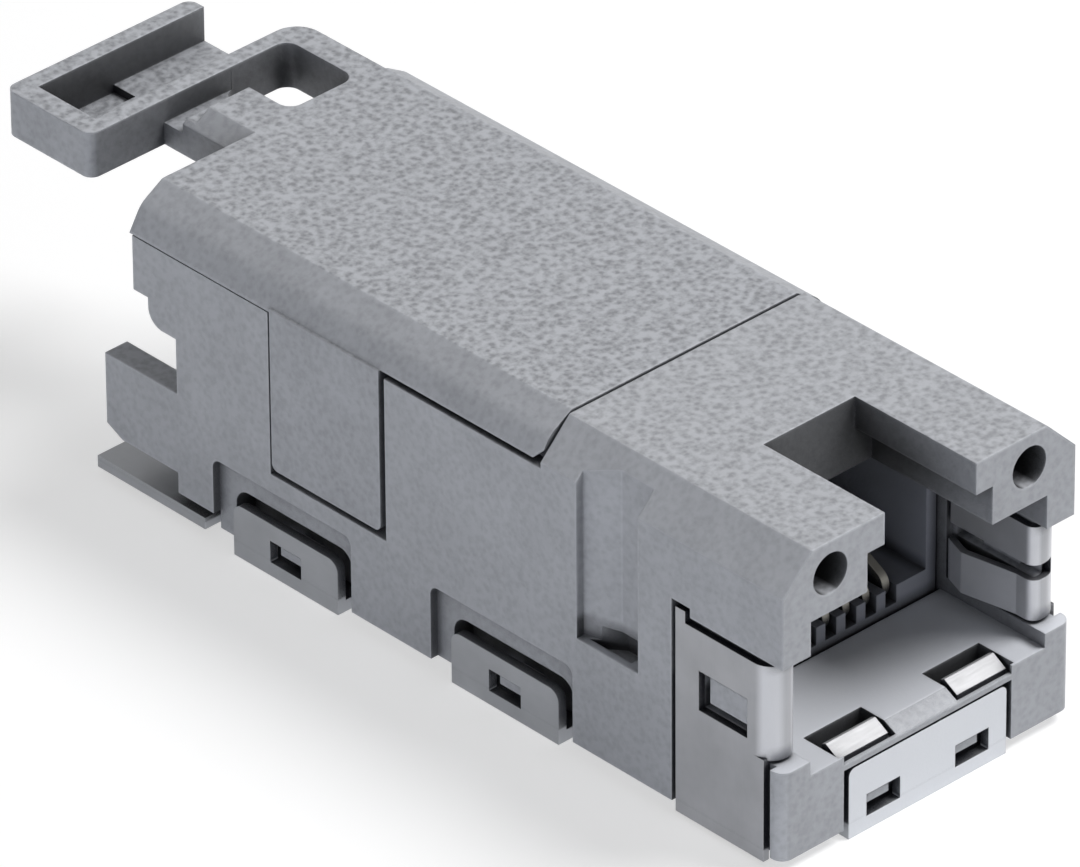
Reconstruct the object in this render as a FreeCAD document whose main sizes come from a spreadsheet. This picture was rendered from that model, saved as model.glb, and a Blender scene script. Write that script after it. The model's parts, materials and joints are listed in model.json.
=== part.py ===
import FreeCAD, Part
import os
import Sketcher

# Shielded network jack module: a die-cast housing with the plug opening at the front (-Y),
# a press-on lid with cable strain relief at the rear (+Y), a bent plate underneath and
# the contacts inside.  Millimetres, +Z up.  All stations along the length are measured from
# the front face, and every piece is then moved so that the origin lies under the middle.

doc = FreeCAD.newDocument("network_jack")

# name, value, what it is
SIZES = [
    ("body_width", 14.7, "outside width of the housing"),
    ("body_height", 13.3, "underside of the bottom plate to the top face"),
    ("plate_gauge", 0.5, "thickness of the bottom plate"),
    ("flange_rise", 0.35, "how far the rear flange stands over the bottom plate"),
    ("plate_inset", 1.15, "side faces to the edges of the bottom plate between its tabs"),
    ("flange_length", 6.0, "length of the rear flange"),
    ("flange_reach", 2.15, "lid's rear end to the rear edge of the flange"),
    ("front_length", 12.5, "front face to the lid seam"),
    ("arm_reach", 1.55, "lid's rear end to the rear end of the lower arms"),
    ("edge_chamfer", 1.45, "chamfer along the upper edges of the front block"),
    ("side_wall", 1.1, "thickness of the side walls"),
    ("lid_height", 1.7, "top face to the top of the side walls, where the lid seats"),
    ("tray_floor", 2.95, "height of the floor behind the plug opening"),
    ("rear_underside", 1.3, "height of the underside over the rear flange"),
    ("arm_underside", 2.2, "height of the underside of the lower arms"),
    ("arm_top", 5.7, "height of the top of the lower arms"),
    ("arm_length", 3.95, "length of the lower arms behind their roots"),
    ("arm_nose", 0.85, "length of the chamfer under the end of the lower arms"),
    ("arm_chamfer", 0.4, "height of the chamfer under the end of the lower arms"),
    ("snap_depth", 2.3, "depth of the rear snap notch"),
    ("snap_top", 8.1, "height of the top of the rear snap notch"),
    ("snap_step", 0.8, "length of the step in the wall end over the snap notch"),
    ("snap_step_height", 1.15, "height of that step over the snap notch"),
    ("snap_radius", 0.75, "rounding of the wall end over the snap notch"),
    ("plug_wall", 1.4, "thickness of the walls beside the plug opening"),
    ("plug_roof", 3.0, "top face to the ceiling of the plug opening"),
    ("plug_floor", 3.7, "height of the floor of the plug opening"),
    ("sill_depth", 5.4, "depth of the floor of the plug opening"),
    ("latch_width", 4.6, "width of the latch slot in the top face"),
    ("latch_depth", 6.2, "depth of the latch slot"),
    ("latch_lip", 1.35, "thickness of the lips beside the latch slot"),
    ("latch_inner_width", 6.3, "width of the latch slot under its lips"),
    ("bore_diameter", 1.7, "blind bores in the front of the arms"),
    ("bore_depth", 3.0, "depth of the blind bores"),
    ("bore_spacing", 10.0, "distance between the blind bores"),
    ("bore_drop", 1.35, "top face to the axes of the blind bores"),
    ("key_front", 7.45, "front edge of the guide grooves"),
    ("key_rear", 10.65, "rear edge of the guide grooves"),
    ("key_bottom", 5.15, "height of the ledge at the foot of the guide grooves"),
    ("key_depth", 0.85, "depth of the guide grooves at their front edge"),
    ("key_rear_depth", 0.35, "depth of the guide grooves at their rear edge"),
    ("key_ramp", 1.5, "length of the slope in the floor of the guide grooves"),
    ("key_lip", 0.3, "width of the ledge outside the recess behind it"),
    ("key_hole_front", 8.1, "front edge of the recess behind the ledge"),
    ("key_hole_length", 2.2, "length of the recess behind the ledge"),
    ("key_hole_rise", 0.6, "height of the recess over the ledge"),
    ("key_hole_drop", 0.4, "depth of the recess below the ledge"),
    ("key_hole_depth", 1.2, "side faces to the inner wall of the recess"),
    ("tab_first", 11.65, "front edge of the front side tabs"),
    ("tab_second", 11.15, "lid's rear end to the front edge of the rear side tabs"),
    ("tab_length", 5.7, "length of a side tab"),
    ("tab_height", 2.3, "height of the top of a side tab"),
    ("tab_gauge", 0.4, "thickness of the tabs"),
    ("tab_radius", 0.5, "rounding of the upper corners of the tabs"),
    ("slot_radius", 0.7, "rounding of the upper corners of the slots round the tabs"),
    ("seat_radius", 0.4, "rounding of the upper corners of the seats of the tabs"),
    ("tab_gap", 0.45, "width of the slots in front of and over the side tabs"),
    ("tab_rear_gap", 0.2, "width of the slots behind the side tabs"),
    ("tab_slot_depth", 1.3, "depth of the slots the side tabs stand in"),
    ("seat_front_margin", 0.75, "shallow seat in front of a side tab"),
    ("seat_rear_margin", 1.1, "shallow seat behind a side tab"),
    ("seat_top", 3.75, "height of the shallow seats"),
    ("seat_depth", 0.35, "depth of the shallow seats"),
    ("window_width", 1.7, "width of the tab windows"),
    ("window_bottom", 0.6, "height of the lower edge of the tab windows"),
    ("window_height", 0.95, "height of the tab windows"),
    ("window_clearance", 0.1, "clearance on the other sides of the window lugs"),
    ("front_tab_width", 8.0, "width of the front tab"),
    ("front_tab_height", 3.0, "height of the top of the front tab"),
    ("front_window_spacing", 4.5, "distance between the windows of the front tab"),
    ("front_tab_radius", 0.3, "rounding of the upper corners of the front tab"),
    ("front_tab_gap", 0.25, "gap on each side of the front tab"),
    ("front_seat_depth", 0.75, "depth of the seat of the front tab"),
    ("front_tab_clearance", 0.1, "clearance over the front tab"),
    ("lip_height", 3.35, "height of the lip of the floor over the front tab"),
    ("lug_inset", 0.1, "how far the window lugs stay behind the outer faces"),
    ("lug_joint", 0.5, "open joint behind and under the window lugs"),
    ("post_height", 4.3, "height of the corner posts beside the plug opening"),
    ("post_radius", 0.5, "rounding of the outer edges of the corner posts"),
    ("pillar_setback", 0.95, "front face to the pillars that carry the shield springs"),
    ("spring_front", 0.62, "front face to the front leg of the shield springs"),
    ("spring_rear", 5.5, "rear edge of the side leg of the shield springs"),
    ("spring_inner_rear", 4.9, "rear edge of the inner leg of the shield springs"),
    ("spring_bottom", 0.15, "height of the lower edge of the side leg"),
    ("spring_top", 8.5, "height of the upper edge of the shield springs"),
    ("spring_gauge", 0.28, "thickness of the shield springs"),
    ("spring_bend", 0.85, "outer radius of the bends at the outer faces"),
    ("spring_inner_bend", 0.45, "outer radius of the bends beside the plug opening"),
    ("spring_play", 0.05, "clearance between a shield spring and the casting"),
    ("spring_gap", 0.35, "open joint over the shield springs"),
    ("spring_rear_gap", 0.2, "open joint behind the shield springs"),
    ("spring_groove", 0.7, "depth of those open joints"),
    ("spring_leg_front", 0.95, "front edge of the side leg below the bends"),
    ("spring_foot_gap", 0.15, "open joint under the front leg of the shield springs"),
    ("ear_length", 0.5, "length of the ear at the rear upper corner of the side leg"),
    ("ear_height", 0.5, "height of that ear"),
    ("ear_gap", 0.25, "open joint in front of and over that ear"),
    ("side_window_front", 1.8, "front edge of the window in the side leg"),
    ("side_window_length", 2.5, "length of the window in the side leg"),
    ("side_window_bottom", 5.1, "height of the lower edge of the window in the side leg"),
    ("side_window_height", 1.7, "height of the window in the side leg"),
    ("side_window_well", 0.7, "depth of the casting behind that window"),
    ("finger_top", 6.2, "height of the upper edge of the contact finger"),
    ("finger_front", 1.5, "front end of the contact finger"),
    ("finger_slot", 0.65, "width of the slot over the contact finger"),
    ("finger_slot_end", 0.4, "outer face to the slot's end in the right spring's front leg"),
    ("finger_relief", 0.45, "depth of the slot in the pillar behind the slot over the finger"),
    ("finger_reach", 0.45, "how far the contact finger stands into the opening"),
    ("ground_width", 2.5, "width of the ground springs"),
    ("ground_spacing", 6.0, "distance between the ground springs"),
    ("ground_front", 0.3, "front edge of the ground springs"),
    ("ground_crest", 0.95, "crest of the ground springs"),
    ("ground_rear", 1.15, "rear face of the leg of the ground springs"),
    ("ground_tip", 0.25, "height of the front end of the ground springs"),
    ("ground_rise", 0.12, "how far the ground springs stand over the floor"),
    ("ground_gauge", 0.2, "thickness of the ground springs"),
    ("pocket_rear", 1.9, "rear edge of the pockets behind the ground springs"),
    ("pocket_depth", 0.5, "depth of the pockets under the ground springs"),
    ("well_front", 0.9, "front edge of the deeper rear part of the pockets"),
    ("well_depth", 1.3, "depth of the deeper rear part of the pockets"),
    ("pocket_margin", 0.2, "clearance round the ground springs"),
    ("cover_seam", 0.15, "open joint between the front block and the lid"),
    ("cover_length", 22.0, "length of the lid without the strain relief"),
    ("wall_setback", 0.15, "lid's rear end to the rear end of the side walls"),
    ("cover_flat_inset", 1.7, "side faces to the flat top of the lid"),
    ("cover_knee_inset", 0.6, "side faces to the break of the lid's long edges"),
    ("cover_knee_drop", 0.65, "top face to the break of the lid's long edges"),
    ("cover_wall", 1.1, "thickness of the lid"),
    ("cover_ceiling_inset", 1.4, "side faces to the flat underside of the lid"),
    ("cover_seat_gap", 0.05, "joint between the lid and the side walls"),
    ("knee_radius", 1.2, "rounding of the break of the lid's long edges"),
    ("flat_radius", 0.25, "rounding of the edges of the lid's flat top"),
    ("lid_relief", 0.15, "relief of the lid's lower edges in front of the flaps"),
    ("lid_corner", 0.35, "chamfer of the lid's lower front corners"),
    ("flap_front", 8.6, "lid seam to the front edge of the side flaps"),
    ("flap_length", 5.9, "length of the side flaps"),
    ("flap_bottom", 4.8, "height of the lower edge of the side flaps"),
    ("flap_radius", 0.3, "rounding of the lower corners of the side flaps"),
    ("flap_front_gap", 0.3, "open joint in front of the side flaps"),
    ("flap_bottom_gap", 0.25, "open joint under the side flaps"),
    ("flap_rear_gap", 0.08, "joint behind the side flaps"),
    ("relief_length", 8.85, "lid's rear end to the back of the strain relief's bar"),
    ("relief_height", 1.95, "top face to the underside of the strain relief"),
    ("neck_left", 1.9, "centre line to the left side of the neck"),
    ("neck_slope", 0.9, "width of the slope along the left side of the neck"),
    ("neck_drop", 0.6, "height of the slope along the left side of the neck"),
    ("loop_gap", 0.3, "lid's rear end to the front edge of the tie loop"),
    ("loop_left", 1.0, "centre line to the left side of the tie loop"),
    ("loop_rim", 1.25, "width of the right side of the tie loop"),
    ("relief_inset", 1.75, "side faces to the sides of the strain relief"),
    ("bar_length", 4.75, "front of the cross wall to the back of the bar"),
    ("tie_wall_gauge", 0.75, "thickness of the cross wall"),
    ("tie_groove_length", 1.05, "width of the tie groove over the neck"),
    ("tie_groove_depth", 1.0, "depth of the tie groove over the neck"),
    ("tie_step_length", 0.5, "width of the step in front of the tie groove"),
    ("tie_step_depth", 0.45, "depth of the step in front of the tie groove"),
    ("bar_radius", 0.45, "rounding of the upright edges of the bar"),
    ("loop_radius", 1.1, "rounding of the outer corner of the tie loop"),
    ("loop_inner_radius", 0.6, "rounding of the inner corners of the tie loop"),
    ("trough_setback", 1.9, "right side of the strain relief to the open end of the trough"),
    ("trough_wall", 0.8, "thickness of the rear wall of the trough"),
    ("trough_end_wall", 0.95, "thickness of the end wall of the trough"),
    ("trough_floor", 0.45, "thickness of the floor of the trough"),
    ("tie_recess_x", -2.0, "middle of the recess in the floor of the trough"),
    ("tie_recess_width", 2.2, "width of the recess in the floor of the trough"),
    ("tie_recess_length", 1.2, "length of the recess in the floor of the trough"),
    ("tie_recess_floor", 0.12, "thickness of the floor of that recess"),
    ("insert_play", 0.1, "clearance beside the contact insert"),
    ("insert_front", 5.55, "front of the contact insert"),
    ("insert_rear", 0.8, "lid seam to the rear of the contact insert"),
    ("insert_base", 4.75, "height of the comb of the contact insert"),
    ("insert_wall", 2.0, "thickness of the back wall of the contact insert"),
    ("cheek_width", 0.5, "thickness of the cheeks of the contact insert"),
    ("cheek_drop", 1.9, "ceiling of the opening to the cheeks of the contact insert"),
    ("comb_drop", 1.3, "ceiling of the opening to the upper ends of the comb slots"),
    ("contact_pitch", 1.02, "distance between neighbouring contacts"),
    ("contact_width", 0.35, "width of a contact wire"),
    ("contact_gauge", 0.3, "thickness of a contact wire"),
    ("contact_slot", 0.56, "width of a comb slot"),
    ("contact_nose", 6.45, "centre of the nose bend of the contact wires"),
    ("contact_bend", 0.5, "bend radius of the contact wires at mid gauge"),
    ("contact_drop", 2.25, "ceiling of the opening to the tips of the free ends"),
    ("contact_end", 0.7, "tips of the free ends to the lid seam"),
    ("contact_tail", 2.7, "lid seam to the rear end of the contact wires"),
    ("foil_gauge", 0.25, "thickness of the insulating foil"),
    ("board_gauge", 0.8, "thickness of the circuit board"),
    ("board_front", 0.95, "lid seam to the front edge of the circuit board"),
    ("board_length", 14.55, "length of the circuit board"),
    ("board_play", 0.15, "clearance beside the circuit board"),
    ("block_front", 3.1, "lid seam to the front of the terminal block"),
    ("block_length", 9.8, "length of the terminal block"),
    ("block_top", 7.0, "height of the terminal block"),
    ("block_play", 0.45, "clearance beside the terminal block and the wire manager"),
    ("terminal_row", 5.1, "lid seam to the middle of the front row of terminals"),
    ("terminal_row_gap", 5.8, "distance between the rows of terminals"),
    ("terminal_margin", 0.2, "material beside the outer terminals' share of the block"),
    ("terminal_width", 1.8, "width of a terminal"),
    ("terminal_gauge", 0.5, "thickness of a terminal"),
    ("terminal_top", 9.0, "height of the terminals"),
    ("terminal_slot", 0.4, "width of the slot in a terminal"),
    ("terminal_slot_depth", 2.0, "depth of the slot in a terminal"),
    ("terminal_play", 0.1, "clearance round a terminal"),
    ("manager_front", 1.8, "lid seam to the front of the wire manager"),
    ("manager_setback", 7.05, "lid's rear end to the rear of the wire manager"),
    ("manager_gap", 0.3, "terminal block to the underside of the wire manager"),
    ("manager_channel", 1.5, "width of the wire channels"),
    ("braid_setback", 1.85, "lid's rear end to the rear edge of the cable shield spring"),
    ("braid_length", 4.4, "length of the cable shield spring"),
    ("braid_width", 8.6, "width of the cable shield spring"),
    ("braid_drop", 0.9, "how far the cable shield spring stands down"),
    ("braid_gauge", 0.25, "thickness of the cable shield spring"),
]

dim = doc.addObject("Spreadsheet::Sheet", "dim")
for line, (name, value, meaning) in enumerate(SIZES, 1):
    dim.set("A%d" % line, name)
    dim.set("B%d" % line, str(value))
    dim.set("C%d" % line, meaning)
    dim.setAlias("B%d" % line, name)
doc.recompute()

# Lengths that several pieces share, as expressions on the sheet.
HALF_WIDTH = "dim.body_width / 2"
PLUG_HALF = "(dim.body_width / 2 - dim.plug_wall)"
PLUG_TOP = "dim.body_height - dim.plug_roof"
LEFT_SIDE = "-dim.body_width / 2"
TRAY_HALF = "(dim.body_width / 2 - dim.side_wall)"
BLOCK_HALF = "(dim.body_width / 2 - dim.side_wall - dim.block_play)"
RELIEF_HALF = "(dim.body_width / 2 - dim.relief_inset)"
WALL_TOP = "dim.body_height - dim.lid_height"
FOIL_TOP = "dim.tray_floor + dim.foil_gauge"
BOARD_TOP = "dim.tray_floor + dim.foil_gauge + dim.board_gauge"
COVER_FRONT = "dim.front_length + dim.cover_seam"
COVER_BOTTOM = "dim.body_height - dim.lid_height + dim.cover_seat_gap"
COVER_CEILING = "dim.body_height - dim.cover_wall"
COVER_REAR = "dim.front_length + dim.cover_seam + dim.cover_length"
OVERALL = COVER_REAR + " + dim.relief_length"
WALL_REAR = COVER_REAR + " - dim.wall_setback"
ARM_REAR = COVER_REAR + " + dim.arm_reach"
ARM_ROOT = ARM_REAR + " - dim.arm_length"
SNAP_FRONT = WALL_REAR + " - dim.snap_depth"
SNAP_STEP = WALL_REAR + " - dim.snap_step"
SNAP_STEP_TOP = "dim.snap_top + dim.snap_step_height"
FLANGE_REAR = COVER_REAR + " + dim.flange_reach"
FLANGE_FRONT = FLANGE_REAR + " - dim.flange_length"
TIE_WALL = OVERALL + " - dim.bar_length"
SECOND_TAB = "%s - dim.tab_second" % COVER_REAR
FLAP_FRONT = "dim.front_length + dim.flap_front"
FLAP_REAR = FLAP_FRONT + " + dim.flap_length"
WINDOW_TOP = "dim.window_bottom + dim.window_height"
SEAT_REAR = SECOND_TAB + " + dim.tab_length + dim.seat_rear_margin"
SPRING_SEAT = "(dim.spring_gauge + dim.spring_play)"
SPRING_SEAT_TOP = "dim.spring_top + dim.spring_gap"
SPRING_FOOT = "dim.post_height + dim.spring_foot_gap"
EAR_FRONT = "dim.spring_rear - dim.ear_length"
FINGER_SLOT_TOP = "dim.finger_top + dim.finger_slot"
MANAGER_BOTTOM = "dim.block_top + dim.manager_gap"
MANAGER_FRONT = "dim.front_length + dim.manager_front"
MANAGER_REAR = COVER_REAR + " - dim.manager_setback"
INSERT_REAR = "dim.front_length + dim.insert_rear"
INSERT_WALL = INSERT_REAR + " - dim.insert_wall"
INSERT_TOP = PLUG_TOP + " - dim.insert_play"
CONTACT_END = "dim.front_length - dim.contact_end"
CONTACT_TAIL = "dim.front_length + dim.contact_tail"
BOARD_FRONT = "dim.front_length + dim.board_front"
BLOCK_FRONT = "dim.front_length + dim.block_front"
TERMINAL_ROW = "dim.front_length + dim.terminal_row"
TERMINAL_PITCH = "(%s - dim.terminal_margin) / 2" % BLOCK_HALF
BRAID_FRONT = COVER_REAR + " - dim.braid_setback - dim.braid_length"

# The side tabs of the bottom plate: a word for each and the station of its front edge.
TABS = (("front", "dim.tab_first"), ("rear", SECOND_TAB))
SIDES = (("left", "-1"), ("right", "1"))

cuts = []
pieces = []


def piece(label):
    """A new body that carries the piece's name and stands over the middle of the length."""
    body = doc.addObject("PartDesign::Body", label)
    body.Label = label
    body.setExpression("Placement.Base.y", "-(%s) / 2" % OVERALL)
    pieces.append(body)
    return body


def plane(body, role):
    return next(item for item in body.Origin.OriginFeatures if item.Role == role)


def sketch(body, name, role, offset):
    """A sketch on an origin plane, moved along the plane's normal."""
    drawing = body.newObject("Sketcher::SketchObject", name)
    drawing.AttachmentSupport = [(plane(body, role), "")]
    drawing.MapMode = "FlatFace"
    drawing.setExpression("AttachmentOffset.Base.z", offset)
    return drawing


def bind(drawing, kind, *place, size, near=1.0):
    """A constraint bound to an expression; near is the value that the drawing starts from."""
    index = drawing.addConstraint(Sketcher.Constraint(kind, *place, near))
    drawing.setExpression("Constraints[%d]" % index, size)


def outline(drawing, corners):
    """A closed outline whose corners are pairs of expressions."""
    count = len(corners)
    first = drawing.GeometryCount
    start = [FreeCAD.Vector(10, 0, 0)]
    turn = FreeCAD.Rotation(FreeCAD.Vector(0, 0, 1), 360.0 / count)
    for _ in range(count):
        start.append(turn.multVec(start[-1]))
    for side in range(count):
        drawing.addGeometry(Part.LineSegment(start[side], start[(side + 1) % count]))
    for side in range(count):
        following = first + (side + 1) % count
        drawing.addConstraint(Sketcher.Constraint("Coincident", first + side, 2, following, 1))
    for side, (across, up) in enumerate(corners):
        bind(drawing, "DistanceX", -1, 1, first + side, 1, size=across)
        bind(drawing, "DistanceY", -1, 1, first + side, 1, size=up)


def box_outline(left, right, low, high):
    return [(left, low), (right, low), (right, high), (left, high)]


def round_outline(drawing, across, up, radius):
    """A circle with its middle at a pair of expressions."""
    circle = drawing.addGeometry(Part.Circle(FreeCAD.Vector(5, 5, 0), FreeCAD.Vector(0, 0, 1), 1))
    bind(drawing, "DistanceX", -1, 1, circle, 3, size=across)
    bind(drawing, "DistanceY", -1, 1, circle, 3, size=up)
    bind(drawing, "Radius", circle, size=radius)


def feature(kind, body, name, drawing, length, reverse, symmetric):
    item = body.newObject(kind, name)
    item.Profile = drawing
    item.Reversed = reverse
    if symmetric:
        item.SideType = "Symmetric"
    item.setExpression("Length", length)
    drawing.Visibility = False
    return item


def pad(body, name, role, outlines, length, offset="0", reverse=False, symmetric=False):
    drawing = sketch(body, name + "_outline", role, offset)
    for corners in outlines:
        outline(drawing, corners)
    return feature("PartDesign::Pad", body, name, drawing, length, reverse, symmetric)


def pocket(body, name, role, outlines, length, offset="0", reverse=False, symmetric=False):
    drawing = sketch(body, name + "_outline", role, offset)
    for corners in outlines:
        outline(drawing, corners)
    item = feature("PartDesign::Pocket", body, name, drawing, length, reverse, symmetric)
    cuts.append(item)
    return item


def bore(body, name, role, centres, radius, depth, offset="0", reverse=False):
    drawing = sketch(body, name + "_outline", role, offset)
    for across, up in centres:
        round_outline(drawing, across, up, radius)
    item = feature("PartDesign::Pocket", body, name, drawing, depth, reverse, False)
    cuts.append(item)
    return item


def both_sides(body, name, originals):
    """Repeats features of the left side on the right side."""
    item = body.newObject("PartDesign::Mirrored", name)
    item.Originals = originals
    item.MirrorPlane = (plane(body, "YZ_Plane"), [""])
    body.Tip = item
    return item


def repeat(body, name, originals, axis, span, count):
    """Repeats features in a row along an axis of the body."""
    item = body.newObject("PartDesign::LinearPattern", name)
    item.Originals = originals
    item.Direction = (plane(body, axis), [""])
    item.Occurrences = count
    item.setExpression("Length", span)
    body.Tip = item
    return item


def edges_where(body, test):
    doc.recompute()
    return ["Edge%d" % (n + 1) for n, edge in enumerate(body.Tip.Shape.Edges) if test(edge)]


def dress(kind, body, name, edges, size_name, size):
    base = body.Tip
    item = body.newObject(kind, name)
    item.Base = (base, edges)
    item.setExpression(size_name, size)
    return item


def along(edge, axis):
    """True for a straight edge that runs along an axis."""
    if len(edge.Vertexes) != 2:
        return False
    span = edge.Vertexes[1].Point - edge.Vertexes[0].Point
    return abs(abs(getattr(span, axis)) - edge.Length) < 1e-6


def length_of(expression):
    """The length that an expression on the sheet stands for, in millimetres."""
    return float(cover.evalExpression(expression))


def edges_at(body, axis, **places):
    """Straight edges along an axis whose middles lie at the given places.

    Each place is named x, y or z and is a list of expressions, one of which has to match;
    x is compared without its sign.
    """
    wanted = {name: [length_of(item) for item in items] for name, items in places.items()}

    def matches(edge):
        middle = edge.CenterOfMass
        found = {"x": abs(middle.x), "y": middle.y, "z": middle.z}
        return along(edge, axis) and all(
            any(abs(found[name] - item) < 0.01 for item in items)
            for name, items in wanted.items())

    return edges_where(body, matches)


# --- the die-cast housing
cover = piece("top_cover")
housing = piece("main_housing")
pad(housing, "casting", "YZ_Plane", [[
    ("0", "dim.plate_gauge"),
    (SEAT_REAR, "dim.plate_gauge"),
    (SEAT_REAR, "dim.rear_underside"),
    (ARM_ROOT, "dim.rear_underside"),
    (ARM_ROOT, "dim.arm_underside"),
    (ARM_REAR + " - dim.arm_nose", "dim.arm_underside"),
    (ARM_REAR, "dim.arm_underside + dim.arm_chamfer"),
    (ARM_REAR, "dim.arm_top"),
    (SNAP_FRONT, "dim.arm_top"),
    (SNAP_FRONT, "dim.snap_top"),
    (SNAP_STEP, "dim.snap_top"),
    (SNAP_STEP, SNAP_STEP_TOP),
    (WALL_REAR, SNAP_STEP_TOP),
    (WALL_REAR, WALL_TOP),
    ("dim.front_length", WALL_TOP),
    ("dim.front_length", "dim.body_height"),
    ("0", "dim.body_height"),
]], "dim.body_width", symmetric=True)
dress("PartDesign::Chamfer", housing, "long_edges", edges_at(
    housing, "y", x=[HALF_WIDTH], z=["dim.body_height"]), "Size", "dim.edge_chamfer")
dress("PartDesign::Fillet", housing, "snap_rounding", edges_at(
    housing, "x", y=[SNAP_STEP], z=["dim.snap_top"]), "Radius", "dim.snap_radius")
pocket(housing, "tray", "YZ_Plane", [box_outline(
    "dim.front_length", OVERALL, "dim.tray_floor", "dim.body_height")],
    "dim.body_width - 2 * dim.side_wall", symmetric=True)
pocket(housing, "plug_opening", "YZ_Plane", [[
    ("-1", "dim.plug_floor"),
    ("dim.sill_depth", "dim.plug_floor"),
    ("dim.sill_depth", "dim.tray_floor"),
    ("dim.front_length + 1", "dim.tray_floor"),
    ("dim.front_length + 1", PLUG_TOP),
    ("-1", PLUG_TOP),
]], "2 * " + PLUG_HALF, symmetric=True)
pocket(housing, "latch_slot", "XZ_Plane", [[
    ("-dim.latch_inner_width / 2", PLUG_TOP + " - 0.5"),
    ("dim.latch_inner_width / 2", PLUG_TOP + " - 0.5"),
    ("dim.latch_inner_width / 2", "dim.body_height - dim.latch_lip"),
    ("dim.latch_width / 2", "dim.body_height - dim.latch_lip"),
    ("dim.latch_width / 2", "dim.body_height + 1"),
    ("-dim.latch_width / 2", "dim.body_height + 1"),
    ("-dim.latch_width / 2", "dim.body_height - dim.latch_lip"),
    ("-dim.latch_inner_width / 2", "dim.body_height - dim.latch_lip"),
]], "dim.latch_depth")
bore(housing, "arm_bores", "XZ_Plane", [
    ("-dim.bore_spacing / 2", "dim.body_height - dim.bore_drop"),
    ("dim.bore_spacing / 2", "dim.body_height - dim.bore_drop"),
], "dim.bore_diameter / 2", "dim.bore_depth")

# Front: the seat of the front tab under the lip of the floor, and the ground spring pockets.
pocket(housing, "front_seat", "XZ_Plane", [box_outline(
    "-dim.front_tab_width / 2 - dim.front_tab_gap", "dim.front_tab_width / 2 + dim.front_tab_gap",
    "0", "dim.front_tab_height + dim.front_tab_clearance")], "dim.front_seat_depth")
pocket(housing, "lead_in", "YZ_Plane", [[
    ("-1", "dim.lip_height"),
    ("0", "dim.lip_height"),
    ("2 * (dim.plug_floor - dim.lip_height)", "dim.plug_floor"),
    ("2 * (dim.plug_floor - dim.lip_height)", "dim.plug_floor + 1"),
    ("-1", "dim.plug_floor + 1"),
]], "dim.front_tab_width + 2 * dim.front_tab_gap", symmetric=True)
for name, start, depth in (
        ("spring_pockets", "dim.ground_front - dim.pocket_margin", "dim.pocket_depth"),
        ("spring_wells", "dim.well_front", "dim.well_depth")):
    pocket(housing, name, "XY_Plane", [box_outline(
        sign + " * dim.ground_spacing / 2 - dim.ground_width / 2 - dim.pocket_margin",
        sign + " * dim.ground_spacing / 2 + dim.ground_width / 2 + dim.pocket_margin",
        start, "dim.pocket_rear") for _, sign in SIDES], depth, offset="dim.plug_floor")

# Left side, mirrored to the right: the seats of the tabs, the guide groove, the flap's cutout
# and the seat of the shield spring round the pillar.
side_cuts = []
for word, start in TABS:
    side_cuts.append(pocket(housing, word + "_tab_seat", "YZ_Plane", [box_outline(
        start + " - dim.seat_front_margin", start + " + dim.tab_length + dim.seat_rear_margin",
        "0", "dim.seat_top")], "dim.seat_depth", offset=LEFT_SIDE, reverse=True))
    side_cuts.append(pocket(housing, word + "_tab_slot", "YZ_Plane", [box_outline(
        start + " - dim.tab_gap", start + " + dim.tab_length + dim.tab_rear_gap",
        "0", "dim.tab_height + dim.tab_gap")],
        "dim.tab_slot_depth", offset=LEFT_SIDE, reverse=True))
side_cuts.append(pocket(housing, "guide_groove", "XY_Plane", [[
    (LEFT_SIDE + " - 1", "dim.key_front"),
    (LEFT_SIDE + " + dim.key_depth", "dim.key_front"),
    (LEFT_SIDE + " + dim.key_depth", "dim.key_rear - dim.key_ramp"),
    (LEFT_SIDE + " + dim.key_rear_depth", "dim.key_rear"),
    (LEFT_SIDE + " - 1", "dim.key_rear"),
]], "dim.body_height + 1 - dim.key_bottom", offset="dim.body_height + 1"))
side_cuts.append(pocket(housing, "groove_recess", "XY_Plane", [[
    (LEFT_SIDE + " + dim.key_lip", "dim.key_hole_front"),
    (LEFT_SIDE + " + dim.key_hole_depth", "dim.key_hole_front"),
    (LEFT_SIDE + " + dim.key_hole_depth", "dim.key_hole_front + dim.key_hole_length / 2"),
    (LEFT_SIDE + " + dim.key_lip", "dim.key_hole_front + dim.key_hole_length"),
]], "dim.key_hole_rise + dim.key_hole_drop", offset="dim.key_bottom + dim.key_hole_rise"))
side_cuts.append(pocket(housing, "flap_cutout", "YZ_Plane", [box_outline(
    FLAP_FRONT + " - dim.flap_front_gap", FLAP_REAR + " + dim.flap_rear_gap",
    "dim.flap_bottom - dim.flap_bottom_gap", "dim.body_height")],
    "dim.side_wall + 0.5", offset=LEFT_SIDE, reverse=True))
side_cuts.append(pocket(housing, "spring_side_seat", "YZ_Plane", [box_outline(
    "dim.spring_front", "dim.spring_rear + dim.spring_rear_gap", "0", SPRING_SEAT_TOP)],
    SPRING_SEAT, offset=LEFT_SIDE, reverse=True))
side_cuts.append(pocket(housing, "spring_ear_seat", "YZ_Plane", [box_outline(
    EAR_FRONT + " - dim.ear_gap", "dim.spring_rear + dim.spring_rear_gap", "dim.spring_top",
    "dim.spring_top + dim.ear_height + dim.ear_gap")],
    SPRING_SEAT, offset=LEFT_SIDE, reverse=True))
side_cuts.append(pocket(housing, "spring_window_well", "YZ_Plane", [box_outline(
    "dim.side_window_front", "dim.side_window_front + dim.side_window_length",
    "dim.side_window_bottom", "dim.side_window_bottom + dim.side_window_height")],
    "dim.side_window_well", offset=LEFT_SIDE, reverse=True))
side_cuts.append(pocket(housing, "spring_front_seat", "XZ_Plane", [box_outline(
    "-dim.body_width", "1 - " + PLUG_HALF, "dim.post_height", SPRING_SEAT_TOP)],
    "dim.pillar_setback"))
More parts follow.
